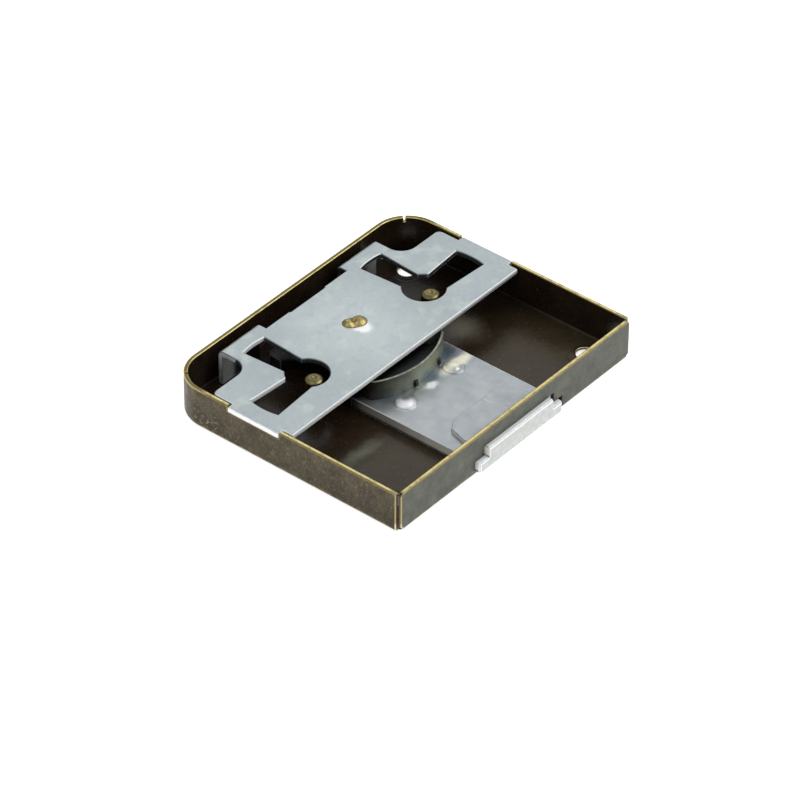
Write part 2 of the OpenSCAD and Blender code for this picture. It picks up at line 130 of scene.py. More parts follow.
def tint(tree, amount, base, over):
    """base where amount is 0, over where it is 1. Both are colours or colour sockets."""
    mix = add(tree, "ShaderNodeMix", {0: amount, 6: base, 7: over}, data_type="RGBA")
    return mix.outputs[2]


def ramp(tree, value, low, high):
    """0 below low, 1 above high, and a smooth step between. low above high turns it round."""
    step = add(tree, "ShaderNodeMapRange", {"Value": value, 1: low, 2: high},
               interpolation_type="SMOOTHSTEP")
    return step.outputs[0]


def both(tree, a, b, how="MULTIPLY"):
    """Two greys combined, by default where both are."""
    return add(tree, "ShaderNodeMath", {0: a, 1: b}, operation=how, use_clamp=True).outputs[0]


def between(tree, grey, low, high):
    """A grey stretched to run from low to high."""
    return add(tree, "ShaderNodeMapRange", {"Value": grey, 3: low, 4: high}).outputs[0]


def bump(tree, shader, height, depth_mm):
    """Gives the shader a relief of depth_mm from a grey."""
    relief = add(tree, "ShaderNodeBump", {"Height": height, "Distance": depth_mm * MM,
                                          "Strength": 1.0})
    tree.links.new(relief.outputs[0], shader.inputs["Normal"])


def spot(tree, mm, place, radius, stretch=(1, 1, 1)):
    """1 at a place on the part, falling to 0 a radius away from it."""
    away = add(tree, "ShaderNodeVectorMath", {0: mm, 1: place}, operation="SUBTRACT")
    flat = add(tree, "ShaderNodeVectorMath", {0: away.outputs[0], 1: stretch},
               operation="MULTIPLY")
    length = add(tree, "ShaderNodeVectorMath", {0: flat.outputs[0]}, operation="LENGTH")
    return ramp(tree, length.outputs["Value"], radius, 0.0)


def wavered(tree, mm, per_mm, by):
    """The place moved about by up to half of by, so that an outline built on it wavers."""
    noise = add(tree, "ShaderNodeTexNoise", {"Vector": mm, "Scale": per_mm, "Detail": 3.0})
    centred = add(tree, "ShaderNodeVectorMath", {0: noise.outputs["Color"], 1: (0.5, 0.5, 0.5)},
                  operation="SUBTRACT")
    moved = add(tree, "ShaderNodeVectorMath", {0: centred.outputs[0], 3: by}, operation="SCALE")
    return add(tree, "ShaderNodeVectorMath", {0: mm, 1: moved.outputs[0]}).outputs[0]


def axes_of(tree, mm):
    """The x, y and z of the place in millimetres."""
    split = add(tree, "ShaderNodeSeparateXYZ", {0: mm})
    return split.outputs[0], split.outputs[1], split.outputs[2]


def off_middle(tree, x):
    """The distance from the middle of the lock, alike on both sides."""
    return add(tree, "ShaderNodeMath", {0: x}, operation="ABSOLUTE").outputs[0]


# %% [markdown]
# ## Antiqued brass, the outside of the tray
# The real sheet was dipped until it went dark olive brown, then relieved a little by hand, so
# high spots and the lower rear corner show brassy specks. A dark metallic base with cloudy
# tones, fine specks and a mild orange-peel relief gives the same skin. The selvage is greyer
# than the side walls, so the tone also follows the depth of the lock.

# %% Antiqued brass outside


def antiqued_brass_outside():
    """The dipped skin, browner on the side walls and greyer on the selvage."""
    material, tree, shader, mm = metal("antiqued brass, outside", 0.42)
    _, y, z = axes_of(tree, mm)
    front = ramp(tree, y, -25.2, -25.6)
    brown = tint(tree, cloud(tree, mm, 0.22, 0.35, 0.68), linear("#464035"), linear("#585041"))
    grey = tint(tree, cloud(tree, mm, 0.3, 0.35, 0.7), linear("#52534c"), linear("#5b5c53"))
    skin = tint(tree, front, brown, grey)
    mottle = cloud(tree, mm, 1.5, 0.4, 0.66, detail=5.0, seed=15)
    mottle = both(tree, mottle, between(tree, front, 0.5, 0.12))
    skin = tint(tree, mottle, skin, linear("#40392f"))
    speck = cloud(tree, mm, 2.2, 0.57, 0.7, detail=4.0, seed=7)
    corner = both(tree, ramp(tree, y, 2.0, 22.0), ramp(tree, z, 5.5, 1.0))
    speck = both(tree, speck, both(tree, front, 0.85), "SUBTRACT")
    speck = both(tree, speck, between(tree, corner, 0.25, 0.95))
    skin = tint(tree, speck, skin, linear("#a8966a"))
    smudge = cloud(tree, mm, 0.9, 0.56, 0.78, stretch=(1, 1, 0.5), seed=3)
    skin = tint(tree, both(tree, smudge, 0.35), skin, linear("#7d7354"))
    rubbed = both(tree, ramp(tree, z, RIM_Z - 0.6, RIM_Z - 0.05),
                  cloud(tree, mm, 1.1, 0.35, 0.6, seed=11))
    skin = tint(tree, both(tree, rubbed, 0.5), skin, linear("#9c8b5c"))
    foot = both(tree, ramp(tree, z, 1.3, 0.4), ramp(tree, z, 0.02, 0.3))
    foot = both(tree, foot, cloud(tree, mm, 0.8, 0.4, 0.65, seed=12))
    skin = tint(tree, both(tree, foot, 0.55), skin, linear("#a08d58"))
    tree.links.new(skin, shader.inputs["Base Color"])
    rough = between(tree, cloud(tree, mm, 0.6, 0.3, 0.7, seed=5), 0.34, 0.5)
    tree.links.new(rough, shader.inputs["Roughness"])
    bump(tree, shader, cloud(tree, mm, 1.6, 0.2, 0.8, detail=6.0, seed=2), 0.02)
    return material


# %% [markdown]
# ## Dark brass, the inside of the tray
# Inside, nobody rubbed the dip off. The metal is almost black brown under a thin clear lacquer.
# The floor under the plate stays near black as painted shade, and the floor in front of it is
# painted lighter, with a greyish haze that is partly dust and partly a painted reflection. A
# pure metal would only mirror the dark walls and go black, so the shader is mostly a dark brown
# body with a glossy skin, which also takes in the light from above.

# %% Antiqued brass inside


def antiqued_brass_inside():
    """The unrubbed skin: painted shade under the plate, a lighter, dusty floor in front."""
    material, tree, shader, mm = metal("antiqued brass, inside", 0.3)
    shader.inputs["Metallic"].default_value = 0.1
    shader.inputs["Specular IOR Level"].default_value = 0.28
    x, y, z = axes_of(tree, mm)
    skin = tint(tree, cloud(tree, mm, 0.25, 0.25, 0.75, detail=2.0), linear("#21180f"),
                linear("#2f2319"))
    # painted shade: the floor under the plate stays near black, the floor in front is painted
    # lighter
    level = ramp(tree, z, SHEET_T + 0.5, SHEET_T + 0.1)
    near = both(tree, level, ramp(tree, y, 2.0, -16.0))
    skin = tint(tree, both(tree, near, 0.9), skin, linear("#3e3424"))
    # a greyish haze on the front floor, partly dust and partly a painted reflection
    dust_and_reflection = both(tree, cloud(tree, mm, 0.13, 0.4, 0.75, detail=2.0, seed=4), near)
    skin = tint(tree, both(tree, dust_and_reflection, 0.5), skin, linear("#584d38"))
    drift = wavered(tree, mm, 0.3, 3.0)
    smear = spot(tree, drift, (-20.0, -7.6, 0.8), 5.5, (0.85, 2.6, 1))
    skin = tint(tree, both(tree, smear, 0.42), skin, linear("#848a75"))
    smear = spot(tree, drift, (18.3, 0.5, 0.8), 5.0, (1, 0.8, 1))
    skin = tint(tree, both(tree, smear, 0.4), skin, linear("#8c8468"))
    dull = cloud(tree, mm, 0.7, 0.45, 0.7, seed=19)
    skin = tint(tree, both(tree, both(tree, dull, near), 0.35), skin, linear("#3a3023"))
    speck = cloud(tree, mm, 1.9, 0.63, 0.74, detail=3.0, seed=9)
    skin = tint(tree, both(tree, speck, 0.22), skin, linear("#9a937c"))
    seam = both(tree, ramp(tree, off_middle(tree, x), 30.8, 31.1), ramp(tree, y, -24.6, -24.8))
    skin = tint(tree, both(tree, seam, 0.8), skin, linear("#6a5a47"))
    tree.links.new(skin, shader.inputs["Base Color"])
    tree.links.new(between(tree, dust_and_reflection, 0.24, 0.4), shader.inputs["Roughness"])
    bump(tree, shader, cloud(tree, mm, 0.8, 0.2, 0.8, detail=5.0, seed=6), 0.02)
    return material


# %% [markdown]
# ## Bare brass, rims and posts
# Where the sheet was cut, and where a hand rubs it, the yellow metal shows. The posts are
# turned from bar and never dipped. The rim of the sheet has two parts: the flat cut and the
# broken edges beside it. In front the flat was rubbed bright and the edges stayed dull. At the
# rear it is the other way round, which draws two thin gold lines instead of one.

# %% Bare brass


def bare_brass(name, light, dark, rough_low, rough_high):
    """Turned or hammered brass, as bright as its tool left it."""
    material, tree, shader, mm = metal(name, rough_low)
    skin = tint(tree, cloud(tree, mm, 0.8, 0.35, 0.7), linear(light), linear(dark))
    tree.links.new(skin, shader.inputs["Base Color"])
    rough = between(tree, cloud(tree, mm, 2.0, 0.3, 0.7, seed=1), rough_low, rough_high)
    tree.links.new(rough, shader.inputs["Roughness"])
    bump(tree, shader, cloud(tree, mm, 1.2, 0.2, 0.8, seed=8), 0.02)
    return material


def cut_rim(name, front, rear):
    """The rim of the sheet, with one tone in front and another round the rear wall."""
    material, tree, shader, mm = metal(name, 0.36)
    x, y, z = axes_of(tree, mm)
    skin = tint(tree, ramp(tree, y, 16.0, 19.0), linear(front), linear(rear))
    skin = tint(tree, both(tree, cloud(tree, mm, 0.9, 0.45, 0.7), 0.5), skin, linear("#7a6a3c"))
    seam = both(tree, ramp(tree, y, -23.2, -24.2), ramp(tree, off_middle(tree, x), 29.6, 30.6))
    skin = tint(tree, both(tree, seam, 0.85), skin, linear("#a0946e"))
    skin = tint(tree, ramp(tree, z, 2.2, 1.6), skin, linear("#c9bfa4"))
    tree.links.new(skin, shader.inputs["Base Color"])
    bump(tree, shader, cloud(tree, mm, 3.0, 0.2, 0.8, seed=8), 0.012)
    return material


# %% [markdown]
# ## Zinc-plated steel, the cap plate
# Bright zinc is a pale, slightly blue metal with a soft cloudy sheen. It isn't a mirror, since
# the rolled steel under it has a fine texture. The clouds here change the tone by only a few
# parts in a hundred, because more would read as dirt. One dent from the riveting punch lies in
# front of the centre post, and a small white painted highlight is put on it. The middle of the
# plate, round the centre post, is painted a little lighter, as a broad painted sheen.

# %% Zinc plating


def zinc_plated_steel():
    """The level faces of the cap plate."""
    material, tree, shader, mm = metal("zinc-plated steel", 0.36)
    skin = tint(tree, cloud(tree, mm, 0.1, 0.3, 0.7), linear("#b2babb"), linear("#bac1c3"))
    fine = cloud(tree, mm, 1.4, 0.35, 0.75, detail=5.0, seed=3)
    skin = tint(tree, both(tree, fine, 0.1), skin, linear("#9ba3a7"))
    # painted sheen: the middle of the plate is painted lighter
    middle = spot(tree, mm, (-1.5, 9.0, 8.0), 16.0, (1, 0.8, 1))
    skin = tint(tree, both(tree, middle, 0.6), skin, linear("#d3dada"))
    pale = cloud(tree, mm, 0.3, 0.5, 0.72, detail=2.0, seed=31)
    skin = tint(tree, both(tree, pale, 0.5), skin, linear("#cdd8d2"))
    blue = cloud(tree, mm, 0.35, 0.5, 0.72, detail=2.0, seed=41)
    skin = tint(tree, both(tree, blue, 0.45), skin, linear("#b0b9c4"))
    stain = cloud(tree, mm, 0.5, 0.6, 0.8, seed=13)
    skin = tint(tree, both(tree, stain, 0.2), skin, linear("#8d9392"))
    # painted highlight: a small white patch on the punch dent
    painted_flare = spot(tree, wavered(tree, mm, 0.8, 1.0), (0.2, 9.1, 8.0), 2.6, (1.2, 0.9, 1))
    skin = tint(tree, both(tree, painted_flare, 2.2), skin, linear("#ffffff"))
    tree.links.new(skin, shader.inputs["Base Color"])
    tree.links.new(between(tree, fine, 0.33, 0.4), shader.inputs["Roughness"])
    dent = spot(tree, mm, (0.85, 8.1, 8.0), 1.2, (1.6, 0.6, 1))
    grain = both(tree, both(tree, fine, 0.15), both(tree, dent, -0.7), "ADD")
    bump(tree, shader, grain, 0.06)
    return material


def zinc_plated_shear():
    """The sheared front: a smooth band painted white as a reflection, a torn dark one, a burr."""
    material, tree, shader, mm = metal("zinc-plated steel, sheared front", 0.4)
    shader.inputs["Metallic"].default_value = 0.0
    x, _, z = axes_of(tree, mm)
    torn = both(tree, ramp(tree, z, PLATE_LOW + 0.12, PLATE_LOW + 0.24),
                ramp(tree, z, PLATE_TOP - 0.34, PLATE_TOP - 0.5))
    # painted reflection: the smooth band is painted near white and not metallic, for the pale
    # floor it mirrors
    skin = tint(tree, both(tree, torn, 0.3), linear("#ffffff"), linear("#6c7273"))
    skin = tint(tree, both(tree, cloud(tree, mm, 1.5, 0.4, 0.7), 0.15), skin, linear("#a5abab"))
    right = both(tree, ramp(tree, x, 0.0, 18.0), ramp(tree, z, PLATE_TOP - 0.3, PLATE_TOP - 0.6))
    skin = tint(tree, both(tree, right, 0.75), skin, linear("#6f7678"))
    tree.links.new(skin, shader.inputs["Base Color"])
    bump(tree, shader, cloud(tree, mm, 2.5, 0.2, 0.8, stretch=(1, 1, 0.3)), 0.02)
    return material


def zinc_plated_side():
    """The other sheared faces, painted dark in the keyholes as shade, near white at the tabs as
    light.
    """
    material, tree, shader, mm = metal("zinc-plated steel, sheared side", 0.45)
    shader.inputs["Metallic"].default_value = 0.6
    side = off_middle(tree, axes_of(tree, mm)[0])
    # painted shade in the keyholes, painted light at the tabs
    skin = tint(tree, ramp(tree, side, 30.0, 30.4), linear("#474d4d"), linear("#f4f6f6"))
    skin = tint(tree, both(tree, cloud(tree, mm, 1.5, 0.4, 0.7), 0.2), skin, linear("#8f9595"))
    tree.links.new(skin, shader.inputs["Base Color"])
    bump(tree, shader, cloud(tree, mm, 2.5, 0.2, 0.8, stretch=(1, 1, 0.3)), 0.02)
    return material


def zinc_plated_leg():
    """The bent legs at the rear, pale where the light falls on them, dark under the plate."""
    material, tree, shader, mm = metal("zinc-plated steel, bent leg", 0.5)
    shader.inputs["Metallic"].default_value = 0.2
    x, _, z = axes_of(tree, mm)
    skin = tint(tree, ramp(tree, z, PLATE_LOW - 0.1, 3.5), linear("#f4f6f4"), linear("#aeb1af"))
    skin = tint(tree, both(tree, cloud(tree, mm, 0.9, 0.4, 0.7), 0.25), skin, linear("#6c7171"))
    skin = tint(tree, ramp(tree, off_middle(tree, x), 18.6, 17.0), skin, linear("#2c2e2e"))
    tree.links.new(skin, shader.inputs["Base Color"])
    bump(tree, shader, cloud(tree, mm, 1.5, 0.2, 0.8, stretch=(1, 1, 0.3)), 0.015)
    return material


# %% [markdown]
# ## Cast zinc, the bolt
# The bolt came out of a polished steel mould. It is brighter and smoother than the plate,
# with flow clouds from the casting and a few scratches along its travel. Round the spring lie
# darker blue-grey painted reflections. Between them lie a few painted highlights in white: one
# in front of the lugs, one on the left boss, and a yellowish band over the right one. Behind the
# plate's front edge the bolt is painted dark, as the shade under the plate.

# %% Cast zinc


# painted reflections: darker blue-grey pools round the spring
PAINTED_REFLECTIONS = (((-7.4, -2.2, BOLT_TOP), 3.4), ((1.6, -5.2, BOLT_TOP), 2.6),
         ((8.4, -2.6, BOLT_TOP), 3.6))  # places and radii
UNDER_PLATE_SHADE = (-1.4, 1.6)  # along y, clean in front of it and painted dark behind it, as the shade under the plate


def cast_zinc():
    """The polished top of the bolt, with scratches, painted reflections, highlights and shade."""
    material, tree, shader, mm = metal("cast zinc", 0.3)
    y = axes_of(tree, mm)[1]
    skin = tint(tree, cloud(tree, mm, 0.2, 0.35, 0.7, seed=2), linear("#aeb3b6"),
                linear("#b7bbbd"))
    skin = tint(tree, both(tree, cloud(tree, mm, 0.9, 0.55, 0.8, seed=5), 0.2), skin,
                linear("#949a9e"))
    drift = wavered(tree, mm, 0.55, 3.0)
    # painted reflections of the spring and the dark tray
    for place, radius in PAINTED_REFLECTIONS:
        skin = tint(tree, both(tree, spot(tree, drift, place, radius), 0.85), skin,
                    linear("#7389a0"))
    near = wavered(tree, mm, 0.8, 1.2)
    # painted highlights: a yellowish band over the right boss, a white glint in front of the lugs
    # and a white crescent on the left boss
    painted_yellow_band = spot(tree, near, (7.6, -6.2, BOLT_TOP), 4.2, (0.75, 2.4, 0.3))
    skin = tint(tree, both(tree, painted_yellow_band, 2.0), skin, linear("#fffbe4"))
    glint = spot(tree, near, (0.2, -6.7, BOLT_TOP), 2.0, (0.9, 1.6, 1))
    skin = tint(tree, both(tree, glint, 1.6), skin, linear("#ffffff"))
    painted_boss_crescent = both(tree, spot(tree, near, (-6.7, -6.7, 3.2), 2.3, (1, 1, 0.3)), 1.8)
    core = both(tree, spot(tree, mm, (-6.2, -6.3, 3.2), 1.4, (1, 1, 0.3)), 1.2)
    painted_boss_crescent = both(tree, painted_boss_crescent, core, "SUBTRACT")
    skin = tint(tree, painted_boss_crescent, skin, linear("#ffffff"))
    # painted highlight on the front of the nose
    painted_nose_highlight = ramp(tree, y, 0.2 - HALF_D, -0.05 - HALF_D)
    skin = tint(tree, painted_nose_highlight, skin, linear("#ffffff"))
    painted_highlights = both(tree, both(tree, painted_yellow_band, glint, "MAXIMUM"), painted_boss_crescent, "MAXIMUM")
    painted_highlights = both(tree, painted_highlights, painted_nose_highlight, "MAXIMUM")
    # a metal can only mirror the grey studio, so the painted white highlights are less metallic
    body = between(tree, both(tree, painted_highlights, 1.6), 0.8, 0.1)
    tree.links.new(body, shader.inputs["Metallic"])
    scratch = cloud(tree, mm, 2.2, 0.7, 0.76, detail=2.0, stretch=(1, 0.12, 1), seed=21)
    skin = tint(tree, both(tree, scratch, 0.35), skin, linear("#d9dcdd"))
    nick = both(tree, spot(tree, mm, (2.3, -17.6, 4.9), 2.0, (8, 1, 1)), 0.9)
    skin = tint(tree, nick, skin, linear("#f2f3f2"))
    # painted shade: behind the plate's front edge the bolt is painted dark
    skin = tint(tree, ramp(tree, y, *UNDER_PLATE_SHADE), skin, linear("#2c2b29"))
    tree.links.new(skin, shader.inputs["Base Color"])
    rough = between(tree, cloud(tree, mm, 0.5, 0.3, 0.7, seed=6), 0.28, 0.42)
    tree.links.new(rough, shader.inputs["Roughness"])
    bump(tree, shader, cloud(tree, mm, 0.8, 0.2, 0.8, detail=4.0, seed=7), 0.012)
    return material


def cast_zinc_flank():
    """The long sides of the bolt, dull from the mould, with painted shade along the foot and
    under the plate.
    """
    material, tree, shader, mm = metal("cast zinc, dull flank", 0.45)
    shader.inputs["Metallic"].default_value = 0.0
    _, y, z = axes_of(tree, mm)
    skin = tint(tree, cloud(tree, mm, 0.35, 0.35, 0.7, seed=2), linear("#efe7df"),
                linear("#fdf6ef"))
    skin = tint(tree, ramp(tree, y, -19.0, -4.0), skin, linear("#aaa097"))
    # painted shade: a dark band along the foot, where the flank meets the tray
    skin = tint(tree, ramp(tree, z, 1.7, 1.0), skin, linear("#3b342e"))
    # painted shade under the plate
    skin = tint(tree, ramp(tree, y, *UNDER_PLATE_SHADE), skin, linear("#2a2725"))
    tree.links.new(skin, shader.inputs["Base Color"])
    bump(tree, shader, cloud(tree, mm, 1.0, 0.2, 0.8, stretch=(1, 0.4, 1)), 0.02)
    return material


def cast_zinc_end():
    """The end face of the bolt: pale, a little grainy, tumbled."""
    material, tree, shader, mm = metal("cast zinc, end face", 0.4)
    shader.inputs["Metallic"].default_value = 0.6
    skin = tint(tree, cloud(tree, mm, 0.8, 0.35, 0.7, seed=4), linear("#b3b5b2"),
                linear("#c0c2bf"))
    grain = cloud(tree, mm, 3.0, 0.5, 0.75, detail=3.0, seed=6)
    skin = tint(tree, both(tree, grain, 0.2), skin, linear("#939694"))
    tree.links.new(skin, shader.inputs["Base Color"])
    bump(tree, shader, cloud(tree, mm, 2.0, 0.2, 0.8, seed=6), 0.02)
    return material


# %% [markdown]
# ## Spring steel
# The strip is oiled and has gone olive grey. Its sheared edges stay bright, which is the thin
# light line that runs along the top of the spring.

# %% Spring steel


def spring_steel():
    """The flat sides: painted light on the right, painted shade on the left and under the plate.
    """
    material, tree, shader, mm = metal("oiled spring steel", 0.42)
    shader.inputs["Metallic"].default_value = 0.7
    x, y, _ = axes_of(tree, mm)
    skin = tint(tree, cloud(tree, mm, 0.5, 0.35, 0.7), linear("#707466"), linear("#5e6257"))
    streak = cloud(tree, mm, 1.5, 0.5, 0.8, stretch=(1, 1, 0.25), seed=4)
    skin = tint(tree, both(tree, streak, 0.3), skin, linear("#999c88"))
    # painted light on the right of the arch; painted shade on the left corner and under the plate
    skin = tint(tree, both(tree, ramp(tree, x, -5.0, 0.5), 0.45), skin, linear("#b4baa4"))
    skin = tint(tree, ramp(tree, x, -4.5, -10.0), skin, linear("#3c3730"))
    skin = tint(tree, ramp(tree, y, 1.0, 4.0), skin, linear("#2d2c29"))
    tree.links.new(skin, shader.inputs["Base Color"])
    bump(tree, shader, cloud(tree, mm, 1.5, 0.2, 0.8, stretch=(1, 1, 0.3), seed=5), 0.012)
    return material


def bright_edge(name, light, dark, metallic=1.0, shaded_at_rear=False):
    """A freshly sheared or rubbed metal edge. It may be painted dark at the rear, as shade."""
    material, tree, shader, mm = metal(name, 0.35)
    shader.inputs["Metallic"].default_value = metallic
    skin = tint(tree, cloud(tree, mm, 0.9, 0.3, 0.7), linear(light), linear(dark))
    if shaded_at_rear:
        # painted shade under the plate, at the rear
        rear_shade = ramp(tree, axes_of(tree, mm)[1], *UNDER_PLATE_SHADE)
        skin = tint(tree, both(tree, rear_shade, 0.9), skin, linear("#2c2b29"))
    tree.links.new(skin, shader.inputs["Base Color"])
    bump(tree, shader, cloud(tree, mm, 3.0, 0.2, 0.8), 0.01)
    return material


OUTSIDE = antiqued_brass_outside()
INSIDE = antiqued_brass_inside()
RIM = cut_rim("bare brass, cut rim", "#e6d79c", "#7c6f45")
RIM_EDGE = cut_rim("bare brass, broken edge", "#8f7f4e", "#d6c68a")
POST = bare_brass("bare brass, turned", "#8b8059", "#766a44", 0.26, 0.34)
HEAD = bare_brass("bare brass, hammered", "#bfad78", "#90804e", 0.28, 0.42)
PLATE = zinc_plated_steel()
SHEAR = zinc_plated_shear()
SIDE = zinc_plated_side()
LEG = zinc_plated_leg()
PLATE_LINE = bright_edge("zinc-plated steel, rolled edge", "#9aa1a3", "#7f8688", 0.6)
PLATE_EDGE = bright_edge("zinc-plated steel, front edge highlight", "#fbfcfc", "#eef1f1", 0.2)
BOLT = cast_zinc()
FLANK = cast_zinc_flank()
END = cast_zinc_end()
DARK_LUG = bright_edge("cast zinc, dark lug", "#3f403c", "#2c2c29", 0.3)
BOLT_LINE = bright_edge("cast zinc, dull edge", "#c2c6c8", "#a9adb0", 0.3)
BOLT_EDGE = bright_edge("cast zinc, rubbed edge", "#ffffff", "#eef0f0", 0.0, shaded_at_rear=True)
STRIP = spring_steel()
STRIP_EDGE = bright_edge("spring steel, sheared edge", "#a9aa9c", "#7d7d70")
print("materials:", len(bpy.data.materials))

# %% [markdown]
# ## Softening a CAD solid
# A CAD edge is infinitely sharp and catches no light, while every real edge is a little round.
# A copy of the solid is merged from loose triangles to one skin, its flat triangles are joined
# to whole faces, and its sharp edges are bevelled. The bevel only takes metal away, so the
# piece stays inside its CAD box. The new small faces can get a material of their own, which is
# where bright sheared edges come from.

# %% The softening tool


MERGE, SHORTEST = 0.0005, 0.05  # mm: loose corners are joined, and tiny edges stay as they are
SHADING_ANGLE = math.radians(35)


def softened(name, node, body, materials, width, sort_face=None, sort_edge=None,
             nudge=None, sharp=28):
    """A bevelled copy of a CAD node, standing in for it. sort_face and sort_edge give the
    material of a face and of a bevelled edge, and nudge may move a corner before the bevel.
    The bevel may push a sharp corner out by a hair, so the copy is held to the old box.
    sharp is the smallest angle that is bevelled, in degrees."""
    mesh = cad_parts[node].data.copy()
    mesh.name = name
    work = bmesh.new()
    work.from_mesh(mesh)
    bmesh.ops.remove_doubles(work, verts=work.verts, dist=MERGE * MM)
    bmesh.ops.dissolve_limit(work, angle_limit=math.radians(0.8), verts=work.verts,
                             edges=work.edges, use_dissolve_boundaries=False)
    low, high = ([pick(v.co[i] for v in work.verts) for i in range(3)] for pick in (min, max))
    for corner in work.verts if nudge else ():
        nudge(corner.co)
    work.normal_update()
    for face in work.faces:
        face.smooth = True
        face.material_index = sort_face(face) if sort_face else 0
    limit = math.radians(sharp)
    edges = [e for e in work.edges if len(e.link_faces) == 2
             and e.calc_face_angle() > limit and e.calc_length() > SHORTEST * MM]
    last = len(materials) - 1
    bmesh.ops.bevel(work, geom=edges, offset=width * MM, offset_type="OFFSET", segments=2,
                    profile=0.5, affect="EDGES", clamp_overlap=False, material=last,
                    loop_slide=True, harden_normals=False)
    for corner in work.verts:
        corner.co = [min(max(v, a), b) for v, a, b in zip(corner.co, low, high)]
    work.normal_update()
    for face in work.faces:
        if sort_edge and face.material_index == last:
            face.material_index = sort_edge(face)
    bmesh.ops.triangulate(work, faces=[f for f in work.faces if len(f.verts) > 4])
    mesh.materials.clear()
    for material in materials:
        mesh.materials.append(material)
    work.to_mesh(mesh)
    work.free()
    mesh.set_sharp_from_angle(angle=SHADING_ANGLE)
    piece = bpy.data.objects.new(name, mesh)
    bpy.context.scene.collection.objects.link(piece)
    even = piece.modifiers.new("even shading", "WEIGHTED_NORMAL")
    even.weight = 100
    even.keep_sharp = True
    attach(piece, body)
    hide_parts(node)
    print(name, "faces:", len(mesh.polygons))


# %% [markdown]
# ## The tray
# Three skins meet on one sheet: the antiqued outside, the dark inside and the bare cut rims. A
# face is sorted by where it looks. Bare cut faces are the tops of the walls. The ends of the
# sheet at the open seam, the sides of the slot and the sides of the notches were cut before
# the dip, and are as dark as the inside. The angle for the bevel is lower than for the other
# pieces, so that the flat countersinks of the screw holes get a rubbed edge too.

# %% The tray
OUT, IN, CUT, BROKEN = range(4)  # places in the list of materials
WALL_END, SEAM_PULL = -24.9, 0.19  # where the side walls end, and how far they are pulled
SLOT_HALF = 14  # the slot in the selvage lies within this
CORNER_SUM = 48  # |x| + |y| is above this on the outside of the two rear corners


def tray_face(face):
    """The material of a face of the tray."""
    c, n = face.calc_center_median() / MM, face.normal
    across = abs(c.x)
    if n.z > 0.9 and c.z > RIM_Z - 1.8:
        return CUT
    if c.y < SELVAGE_IN + 0.05 and abs(n.y) < 0.5 and c.z > SHEET_T + 0.05:
        return IN  # the sides of the slot
    notch = c.z > PLATE_LOW and -1 < c.y < 13
    if across > WALL_IN - 0.05 and abs(n.y) > 0.9 and (abs(c.y + 25) < 0.5 or notch):
        return IN
    outward = n.x * c.x + n.y * c.y
    skin = across > WALL_IN - 0.45 or abs(c.y) > HALF_D - 1 or across + abs(c.y) > CORNER_SUM
    return OUT if n.z < -0.3 or (outward > 0 and skin and n.z < 0.3) else IN


def tray_edge(face):
    """The edges of the slot were dipped with the rest, every other cut edge is bare."""
    c = face.calc_center_median() / MM
    slot = c.y < WALL_END + 0.1 and c.z < RIM_Z - 0.4 and abs(c.x) < SLOT_HALF
    return IN if slot else BROKEN


def close_seam(place):
    """Pulls the end of a side wall up to the selvage, as in the photograph."""
    if abs(place.x) > (WALL_IN - 0.15) * MM and abs(place.y - WALL_END * MM) < 0.1 * MM:
        place.y -= SEAM_PULL * MM


softened("case_folded_sheet", "case", "case", [OUTSIDE, INSIDE, RIM, RIM_EDGE],
         0.17, tray_face, tray_edge, close_seam, sharp=24)

# %% [markdown]
# ## The cap plate
# The edges of a blanked plate are rolled on the punch side. The levels get the plating, and the
# sheared faces and the two bent legs get duller metals. Sheared faces and edges that look forward
# or outward are painted near white, as highlights and as the reflection of the pale floor, and
# sheared faces in the keyholes are painted dark, as shade.

# %% The cap plate
LEVEL, SHEARED, BENT, SIDES, LINE, BRIGHT = range(6)  # places in the list of materials
FOLD_Z = PLATE_LOW + 0.2  # the legs lie below this, the rest of the plate above it
LEGS_Y = 22  # and the legs lie behind this


def plate_face(face):
    """The material of a face of the plate."""
    c, n = face.calc_center_median() / MM, face.normal
    if c.y > LEGS_Y and c.z < FOLD_Z:
        return BENT
    if abs(n.z) > 0.5:
        return LEVEL
    # sheared faces that look forward get the painted reflection of SHEAR, the others the painted
    # shade and light of SIDE
    return SHEARED if n.y < -0.5 and (c.y < 0 or c.x < 0 and on_arm(c)) else SIDES


def plate_edge(face):
    """The edges that face forward or outward, to the walls, are painted near white as highlights.
    """
    c, n = face.calc_center_median() / MM, face.normal
    front = n.y < -0.25 and abs(n.z) > 0.2 and (c.y < 1 or on_arm(c))
    outward = abs(c.x) > 23 and n.x * c.x > 0.25 * abs(c.x) and c.z > FOLD_Z
    # painted highlight: edges that look forward or outward are painted near white
    return BRIGHT if front or outward or abs(c.x) > WALL_IN + 0.05 else LINE


def on_arm(c):
    """The two straight arms of a keyhole, without its round part."""
    return c.y > 17 or abs(c.x) > 19.5


softened("cap_plate_plated", "cap_plate", "case",
         [PLATE, SHEAR, LEG, SIDE, PLATE_LINE, PLATE_EDGE], 0.16, plate_face, plate_edge)

# %% [markdown]
# ## The bolt
# A casting has rounder corners than sheared sheet. Its top was polished, its flanks stayed dull
# from the mould, and its end face was only tumbled.

# %% The bolt
TOP, FLANKS, NOSE, LUG, DULL, RUBBED = range(6)  # places in the list of materials


def bolt_face(face):
    """The material of a face of the bolt."""
    c, n = face.calc_center_median() / MM, face.normal
    if c.y < BOLT_FRONT + 0.85 and n.y < -0.6:
        return NOSE
    if on_lug(c):
        return LUG
    return FLANKS if abs(n.z) < 0.4 and (abs(c.x) > BOLT_HALF - 0.8 or c.y < HEAD_Y) else TOP


